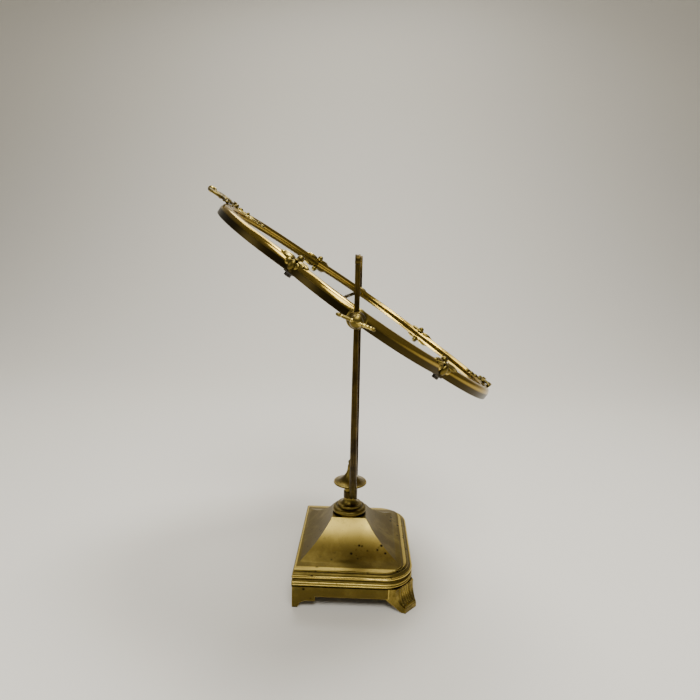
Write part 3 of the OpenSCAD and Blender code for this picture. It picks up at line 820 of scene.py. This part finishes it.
class MIRROR_OT_yoke(bpy.types.Operator):
    """Harp-shaped yoke: two tapering moulded arms, scrolled horns, pivot eyes and the hub eye"""

    bl_idname = "mirror.yoke"
    bl_label = "Yoke"

    def execute(self, context):
        sizes = context.scene.mirror_yoke
        section = [
            (-1, -0.72), (-0.72, -1), (-0.2, -1), (0.2, -1), (0.72, -1), (1, -0.72), (1, -0.4),
            (0.8, -0.25), (0.8, 0.25), (1, 0.4), (1, 0.72), (0.72, 1), (0.2, 1), (-0.2, 1),
            (-0.72, 1), (-1, 0.72), (-1, 0.4), (-0.8, 0.25), (-0.8, -0.25), (-1, -0.4),
        ]
        bm = bmesh.new()

        def place(station, point):
            spot, out, share = station
            thick = sizes.thick_low + (sizes.thick_high - sizes.thick_low) * min(share, 1)
            slim = 1.0 if share < 1 else 1 - 0.28 * (share - 1)
            deep = sizes.depth / 2 * point[0] * slim * (0.62 if share > 2 else 1)
            y = PIVOT.y + thick / 2 * point[1]
            return Vector((side * (spot.x + out.x * deep), y, spot.y + out.y * deep))

        for side in (-1, 1):
            first, last = sweep(bm, section, arm_path(sizes), place)
            cap(bm, first)
            cap(bm, last)
            upright = Matrix.Rotation(side * math.pi / 2, 4, "Y")
            eye = [(PIVOT_BORE_MM, -3), (5.6, -3), (6.1, -2.7), (6.5, -2.2), (6.5, 2.2), (6.1, 2.7)]
            eye += [(5.6, 3), (PIVOT_BORE_MM, 3)]
            eye = [(r * MM, h * MM) for r, h in eye]
            turn(bm, eye, Matrix.Translation((side * ARM_X, PIVOT.y, PIVOT.z)) @ upright, 48)
        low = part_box("socket")[1].z
        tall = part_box("neck_spacer")[0].z - low
        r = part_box("neck_spacer")[1].x + 0.3 * MM
        soft = 0.4 * MM
        hub = [(ROD_BORE, 0), (r - soft, 0), (r, soft), (r, tall - soft), (r - soft, tall)]
        hub += [(ROD_BORE, tall)]
        turn(bm, hub, on_hub(low), 56)
        front = PIVOT.y - sizes.thick_low / 2
        block = bmesh.ops.create_cube(
            bm, size=1.0,
            matrix=Matrix.Translation((0, (front + HUB_Y) / 2 - 0.5 * MM, low + tall / 2))
            @ Matrix.Diagonal((1.9 * r, HUB_Y - front - 1 * MM, tall - soft, 1)),
        )["verts"]
        edges = list({e for v in block for e in v.link_edges})
        bmesh.ops.bevel(
            bm, geom=edges, offset=1.2 * MM, segments=3, profile=0.5, affect="EDGES", material=-1
        )
        finish_piece(bm, "yoke_cast", "stand", yoke_brass(), ["yoke"], sharp=32)
        return {"FINISHED"}


# ---------------------------------------------------------------- mirror


def on_mirror(x=0.0, up=0.0, out=0.0):
    """Places a piece on the tilted mirror: across, up the glass, out of its face."""
    tilt = bpy.context.scene.mirror_plate.tilt
    return Matrix.Translation(PIVOT) @ Matrix.Rotation(tilt, 4, "X") @ Matrix.Translation((x, up, out))


def lobes():
    """Centres of the four lobes, anticlockwise from the right."""
    s = bpy.context.scene.mirror_plate
    right, left = Vector((s.side, -s.drop)), Vector((-s.side, -s.drop))
    return [right, Vector((0, s.upper)), left, Vector((0, -s.lower))]


def notch(a, b, inset):
    """Where two neighbouring lobes meet, at an inset from the frame's outer side."""
    s = bpy.context.scene.mirror_plate
    gap = b - a
    reach = math.sqrt((s.lobe - inset) ** 2 - gap.length_squared / 4)
    return (a + b) / 2 + reach * Vector((gap.y, -gap.x)).normalized()


def outline_stations(steps=40):
    """Stations round the frame, as (lobe, share of the way along it)."""
    return [(k, i / steps) for k in range(4) for i in range(steps)] + [(0, 0.0)]


def on_outline(station, inset):
    """The point of the outline at a station, at an inset from the frame's outer side."""
    k, share = station
    centres = lobes()
    radius = bpy.context.scene.mirror_plate.lobe - inset
    start = notch(centres[k - 1], centres[k], inset) - centres[k]
    end = notch(centres[k], centres[(k + 1) % 4], inset) - centres[k]
    a, b = (math.atan2(v.y, v.x) for v in (start, end))
    if b < a:
        b += 2 * math.pi
    angle = a + (b - a) * share
    return centres[k] + radius * Vector((math.cos(angle), math.sin(angle)))


class MIRROR_OT_rail(bpy.types.Operator):
    """Lobed frame: plain side, rounded shoulder polished and lit by a painted highlight, thin inner lip and
    a rebate for the glass
    """

    bl_idname = "mirror.rail"
    bl_label = "Lobed frame"

    def execute(self, context):
        s = context.scene.mirror_plate
        front, back = s.front / MM, -s.back / MM
        glass = front - 4.5
        quarter = [math.pi / 2 * i / 12 for i in range(13)]
        section = [(5, back), (0.5, back), (0, back + 0.5), (0, front - 6.2)]
        section += [(4.8 - 4.8 * math.cos(a), front - 6.2 + 6.2 * math.sin(a)) for a in quarter[1:]]
        section += [(5.4 + 2.0 * math.sin(a), front - 1.8 + 1.8 * math.cos(a)) for a in quarter[:-2]]
        section += [(7.8, front - 1.9), (8.4, front - 1.9), (8.9, front - 2.4), (9, front - 3.0)]
        section += [(9, glass), (5, glass)]
        section = [(i * MM, n * MM) for i, n in section]
        bm = bmesh.new()

        def place(station, point):
            spot = on_outline(station, point[0])
            return Vector((spot.x, spot.y, point[1]))

        sweep(bm, section, outline_stations(), place)
        bmesh.ops.transform(bm, matrix=on_mirror(), verts=bm.verts)
        finish_piece(bm, "frame_rail", "mirror", rim_brass(), ["mirror_frame"], sharp=40)
        return {"FINISHED"}


class MIRROR_OT_clasps(bpy.types.Operator):
    """Four leaf clasps, each with a bead between two sprays of leaves, over the frame's notches"""

    bl_idname = "mirror.clasps"
    bl_label = "Leaf clasps"

    def execute(self, context):
        s = context.scene.mirror_plate
        centres = lobes()
        names = ("upper_right", "upper_left", "lower_left", "lower_right")
        for i, name in enumerate(names):
            j = (i + 1) % len(centres)
            outer = notch(centres[i], centres[j], 0)
            inner = notch(centres[i], centres[j], 5 * MM)
            way = (outer - inner).normalized()
            turned = Matrix.Rotation(math.atan2(way.y, way.x), 4, "Z")
            bm = bmesh.new()
            top = s.front / MM
            bulge = math.asin((centres[i] - centres[j]).length / 2 / s.lobe)

            def leaf(x, along, out, size, sign=0, bm=bm, bulge=bulge):
                lean = Matrix.Rotation(-sign * bulge, 4, "Z")
                spot = lean @ Vector((x, sign * along, out))
                blob(bm, spot * MM, Vector(size) * MM, lean, 24, 14)

            leaf(-6.0, 0, top + 2.2, (3.0, 3.0, 3.0))
            leaf(-4.2, 0, top + 0.4, (4.8, 3.4, 1.3))
            leaf(0.9, 0, 2.2, (2.4, 3.4, 4.6))
            for sign in (-1, 1):
                leaf(-4.4, 6.6, top + 0.1, (3.4, 6.4, 1.7), sign)
                leaf(-5.0, 7.0, top + 1.2, (1.0, 5.0, 0.9), sign)
                leaf(-2.0, 6.0, top - 1.2, (1.6, 5.2, 1.9), sign)
                leaf(-0.9, 4.2, top - 4.0, (1.4, 3.2, 3.0), sign)
                leaf(-4.4, 12.2, top - 0.5, (2.1, 2.4, 1.5), sign)
            matrix = on_mirror(outer.x, outer.y) @ turned
            bmesh.ops.transform(bm, matrix=matrix, verts=bm.verts)
            finish_piece(
                bm, f"leaf_clasp_{name}", "mirror", ornament_brass(), [f"clasp_{name}"],
                sharp=60,
            )
        return {"FINISHED"}


class MIRROR_OT_crest(bpy.types.Operator):
    """Pierced bow with a scrolled tip above the frame, and a tail of beads in over the glass"""

    bl_idname = "mirror.crest"
    bl_label = "Crest"

    def execute(self, context):
        s = context.scene.mirror_plate
        end = (s.upper + s.lobe) / MM
        top = s.front / MM
        bm = bmesh.new()

        def lump(x, up, out, size, lean=0.0, segments=18, rings=12):
            turned = Matrix.Rotation(math.radians(lean), 4, "Z")
            blob(bm, Vector((x, up, out)) * MM, Vector(size) * MM, turned, segments, rings)

        for sign in (-1, 1):
            bow = [
                Matrix.Translation((sign * 13 * MM, (end + 9) * MM, (top + 1.5) * MM))
                @ Matrix.Rotation(2 * math.pi * i / 40, 4, "Z") for i in range(41)
            ]
            ring = [(6.6 * MM + r * 1.4, n) for r, n in arc(0, 0, 1.45 * MM, 0, 330, 11)]
            sweep(bm, ring, bow, lambda m, p: m @ Vector((p[0], 0, p[1])))
            for k in range(3):
                size = (4.0 - 0.45 * k, 2.1, 1.5)
                lump(sign * (6.5 + 5.6 * k), end - 1.5 - 1.2 * k, top + 1.0, size, sign * -12)
            lump(sign * 3.2, end + 18.0, top + 1.5, (1.1, 3.1, 3.1))
        for k in range(5):
            lump(0, end - 1 + 4.1 * k, top + 1.3 + 0.12 * k, (4.6 - 0.5 * k, 3.4, 1.7))
        for k in range(2):
            lump(0, end + 4 + 4.5 * k, top - 0.5, (2.4, 1.7, 1.2))
        roll = Matrix.Translation((-4.4 * MM, (end + 18.8) * MM, (top + 1.5) * MM))
        roll = roll @ Matrix.Rotation(math.pi / 2, 4, "Y")
        curl = [(0, 0), (2.2, 0), (2.9, 0.5), (3.1, 1.4), (2.7, 2.2), (2.5, 4.4), (2.7, 6.6)]
        curl += [(3.1, 7.4), (2.9, 8.3), (2.2, 8.8), (0, 8.8)]
        turn(bm, [(r * MM, h * MM) for r, h in curl], roll, 32)
        lump(0, end - 20, top + 0.6, (2.6, 16, 1.1))
        for k in range(3):
            near = end - 9.5 - 12.5 * k
            lump(0, near, top + 1.9 - 0.3 * k, (3.6 - 0.6 * k, 1.5, 2.4 - 0.35 * k), 0)
            lump(0, near - 4.6, top + 1.4 - 0.3 * k, (2.6 - 0.5 * k, 2.4, 1.7 - 0.25 * k), 0)
        bmesh.ops.transform(bm, matrix=on_mirror(), verts=bm.verts)
        finish_piece(bm, "crest_bow", "mirror", ornament_brass(), ["crest"], sharp=60)
        return {"FINISHED"}


class MIRROR_OT_lower_ornament(bpy.types.Operator):
    """Small leaf at the frame's lower end"""

    bl_idname = "mirror.lower_ornament"
    bl_label = "Lower ornament"

    def execute(self, context):
        s = context.scene.mirror_plate
        end = (s.lower + s.lobe) / MM
        top = s.front / MM
        bm = bmesh.new()

        def lump(x, up, out, size, lean=0.0):
            turned = Matrix.Rotation(math.radians(lean), 4, "Z")
            blob(bm, Vector((x, -up, out)) * MM, Vector(size) * MM, turned, 18, 12)

        for sign in (-1, 1):
            for k in range(4):
                size = (3.0 - 0.35 * k, 1.8, 1.7)
                lump(sign * (5.5 + 4.2 * k), end - 1.8 - 1.2 * k, top + 1.2, size, sign * 14)
        lump(0, end - 1, top + 1.4, (3.8, 3.8, 1.5))
        for k in range(5):
            lump(0, end - 6.5 - 4.6 * k, top + 0.7, (3.2 - 0.42 * k, 2.7 - 0.1 * k, 1.5))
        bmesh.ops.transform(bm, matrix=on_mirror(), verts=bm.verts)
        finish_piece(
            bm, "lower_leaf", "mirror", ornament_brass(), ["lower_ornament"], sharp=60
        )
        return {"FINISHED"}


# ---------------------------------------------------------------- pivots


class MIRROR_OT_pivots(bpy.types.Operator):
    """Ringed bosses between the frame and the arms"""

    bl_idname = "mirror.pivots"
    bl_label = "Ringed bosses"

    def execute(self, context):
        for side, name in ((-1, "left"), (1, "right")):
            low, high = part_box(f"pivot_boss_{name}")
            r = (high.z - low.z) / 2
            reach = max(abs(low.x), abs(high.x))
            long = high.x - low.x
            turns = [(0.72, 0.0), (0.74, 0.30), (0.95, 0.36), (1.0, 0.42), (0.95, 0.48), (0.8, 0.53)]
            turns += [(0.8, 0.58), (0.92, 0.62), (0.97, 0.66), (0.92, 0.70), (0.76, 0.75), (0.72, 0.8)]
            turns += [(0.7, 0.94), (0.66, 1.0)]
            bore = PIVOT_BORE_MM * MM
            profile = [(bore, 0)] + [(r * a, long * b) for a, b in turns] + [(bore, long)]
            bm = bmesh.new()
            place = Matrix.Translation((side * (reach - long), PIVOT.y, PIVOT.z))
            turn(bm, profile, place @ Matrix.Rotation(side * math.pi / 2, 4, "Y"), 64)
            finish_piece(
                bm, f"ringed_boss_{name}", "mirror", turned_brass(), [f"pivot_boss_{name}"]
            )
        return {"FINISHED"}


class MIRROR_OT_wing_nuts(bpy.types.Operator):
    """Wing nuts, each with one smooth wing and one beaded wing"""

    bl_idname = "mirror.wing_nuts"
    bl_label = "Wing nuts"

    def execute(self, context):
        slant = context.scene.mirror_plate.tilt - math.radians(11.5)
        nominal = 8 * MM
        for side, name in ((-1, "left"), (1, "right")):
            low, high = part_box(f"wing_nut_{name}")
            near = min(abs(low.x), abs(high.x))
            long = high.x - low.x
            bm = bmesh.new()
            body = [(PIVOT_BORE_MM, 0), (5.0, 0), (5.5, 0.5), (5.5, 1.4), (4.8, 2.0), (4.9, 4.0)]
            body += [(4.4, 5.6), (3.4, 6.8), (1.8, 7.3), (0, 7.4), (0, 6.0), (PIVOT_BORE_MM, 6.0)]
            upright = Matrix.Rotation(side * math.pi / 2, 4, "Y")
            turn(bm, [(r * MM, h * MM * long / nominal) for r, h in body], upright, 48)
            across = side * (long - 2.2 * MM)

            def bar(along, size, bm=bm, across=across):
                blob(bm, (across, along * MM, 0), Vector(size) * MM, segments=24, rings=16)

            bar(7.0, (2.0, 7.0, 1.35))
            bar(13.0, (2.1, 2.5, 1.45))
            bar(3.4, (2.1, 1.3, 1.5))
            bar(-2.6, (2.1, 1.3, 1.5))
            bar(-6.0, (1.9, 8.4, 1.15))
            for k in range(4):
                bar(-(6.2 + 2.3 * k), (2.1 - 0.1 * k, 1.5, 1.45))
            place = Matrix.Translation((side * near, PIVOT.y, PIVOT.z)) @ Matrix.Rotation(slant, 4, "X")
            bmesh.ops.transform(bm, matrix=place, verts=bm.verts)
            finish_piece(
                bm, f"winged_nut_{name}", f"nut_{name}", turned_brass(),
                [f"wing_nut_{name}"], sharp=50,
            )
        return {"FINISHED"}


class MIRROR_OT_plain_parts(bpy.types.Operator):
    """Finishes for the parts whose shape comes from the frame: glass, back, screws and nuts"""

    bl_idname = "mirror.plain_parts"
    bl_label = "Glass, back and fasteners"

    def execute(self, context):
        steel = blackened_steel()
        paint(silvered_glass(), "mirror_glass")
        paint(grey_card(), "backing_card")
        paint(sheet_brass(), "back_plate")
        paint(ornament_brass(), "ornament_rivets")
        paint(turned_brass(), "washer_left", "washer_right")
        paint(steel, "foot_screws", "tie_rod", "rod_washer", "rod_nut", "back_clips", "clasp_nuts")
        paint(steel, "pivot_screw_left", "pivot_screw_right")
        return {"FINISHED"}


# ---------------------------------------------------------------- stage


class MIRROR_OT_stage(bpy.types.Operator):
    """Pale floor that curves up behind, soft lights and the camera"""

    bl_idname = "mirror.stage"
    bl_label = "Stage"

    def execute(self, context):
        scene = context.scene
        bm = bmesh.new()
        rise = [(-3.0, 0), (0.4, 0), (0.8, 0)] + arc(0.8, 1.0, 1.0, -90, 0, 48)[1:]
        rise += [(1.8, 1.2), (1.8, 3.0)]
        sweep(bm, rise, [-3.0, 3.0], lambda y, p: Vector((p[0], y, p[1])), ring=False)
        bmesh.ops.recalc_face_normals(bm, faces=bm.faces)
        mesh = bpy.data.meshes.new("floor")
        for face in bm.faces:
            face.smooth = True
        bm.to_mesh(mesh)
        bm.free()
        mesh.materials.append(pale_floor())
        floor = bpy.data.objects.new("floor", mesh)
        scene.collection.objects.link(floor)

        world = bpy.data.worlds.new("studio")
        world.use_nodes = True
        surround = world.node_tree.nodes["Background"]
        surround.inputs["Color"].default_value = hex_colour("#B9B4AA")
        surround.inputs["Strength"].default_value = 0.34
        scene.world = world

        aim = Vector((0, 0, 0.18))
        for name, place, size, power in (
            ("key", (-0.75, -0.1, 1.2), 0.6, 10),
            ("top", (0.05, -0.35, 1.5), 0.4, 13),
            ("side", (-0.6, 1.2, 0.8), 0.5, 2.5),
            ("wall", (0.9, 0.1, 1.9), 1.2, 24),
        ):
            light = bpy.data.lights.new(name, "AREA")
            light.size = size
            light.energy = power
            lamp = bpy.data.objects.new(name, light)
            lamp.location = place
            lamp.rotation_euler = (aim - Vector(place)).to_track_quat("-Z", "Y").to_euler()
            scene.collection.objects.link(lamp)

        yaw, pitch, roll = 0.0242, 0.1741, 0.0248
        viewpoint = Vector((-0.5145, HUB_Y - 0.0089, 0.3246))
        level = math.cos(pitch)
        forward = Vector((math.cos(yaw) * level, math.sin(yaw) * level, -math.sin(pitch)))
        right = Vector((math.sin(yaw), -math.cos(yaw), 0))
        above = right.cross(forward)
        right, above = (
            math.cos(roll) * right + math.sin(roll) * above,
            math.cos(roll) * above - math.sin(roll) * right,
        )
        camera = bpy.data.cameras.new("camera")
        camera.lens = 27.15
        camera.sensor_width = 36
        viewer = bpy.data.objects.new("camera", camera)
        turned = Matrix((right, above, -forward)).transposed().to_4x4()
        viewer.matrix_world = Matrix.Translation(viewpoint) @ turned
        scene.collection.objects.link(viewer)
        scene.camera = viewer
        return {"FINISHED"}


class MIRROR_PT_panel(bpy.types.Panel):
    """The steps that build the mirror"""

    bl_idname = "MIRROR_PT_panel"
    bl_label = "Brass swing mirror"
    bl_space_type = "VIEW_3D"
    bl_region_type = "UI"
    bl_category = "Mirror"

    def draw(self, context):
        for step in STEPS:
            self.layout.operator(step.bl_idname)


STEPS = (
    MIRROR_OT_stage,
    MIRROR_OT_base,
    MIRROR_OT_base_beads,
    MIRROR_OT_front_feet,
    MIRROR_OT_hub,
    MIRROR_OT_finial,
    MIRROR_OT_yoke,
    MIRROR_OT_rail,
    MIRROR_OT_clasps,
    MIRROR_OT_crest,
    MIRROR_OT_lower_ornament,
    MIRROR_OT_pivots,
    MIRROR_OT_wing_nuts,
    MIRROR_OT_plain_parts,
)
GROUPS = {
    "mirror_base": BaseSizes,
    "mirror_plate": MirrorSizes,
    "mirror_yoke": YokeSizes,
    "mirror_brass": BrassColours,
}


def register():
    for cls in (*GROUPS.values(), *STEPS, MIRROR_PT_panel):
        bpy.utils.register_class(cls)
    for name, group in GROUPS.items():
        setattr(bpy.types.Scene, name, PointerProperty(type=group))


def unregister():
    for name in GROUPS:
        delattr(bpy.types.Scene, name)
    for cls in reversed((*GROUPS.values(), *STEPS, MIRROR_PT_panel)):
        bpy.utils.unregister_class(cls)


def main():
    register()
    for step in STEPS:
        group, name = step.bl_idname.split(".")
        getattr(getattr(bpy.ops, group), name)()


if __name__ == "__main__":
    main()
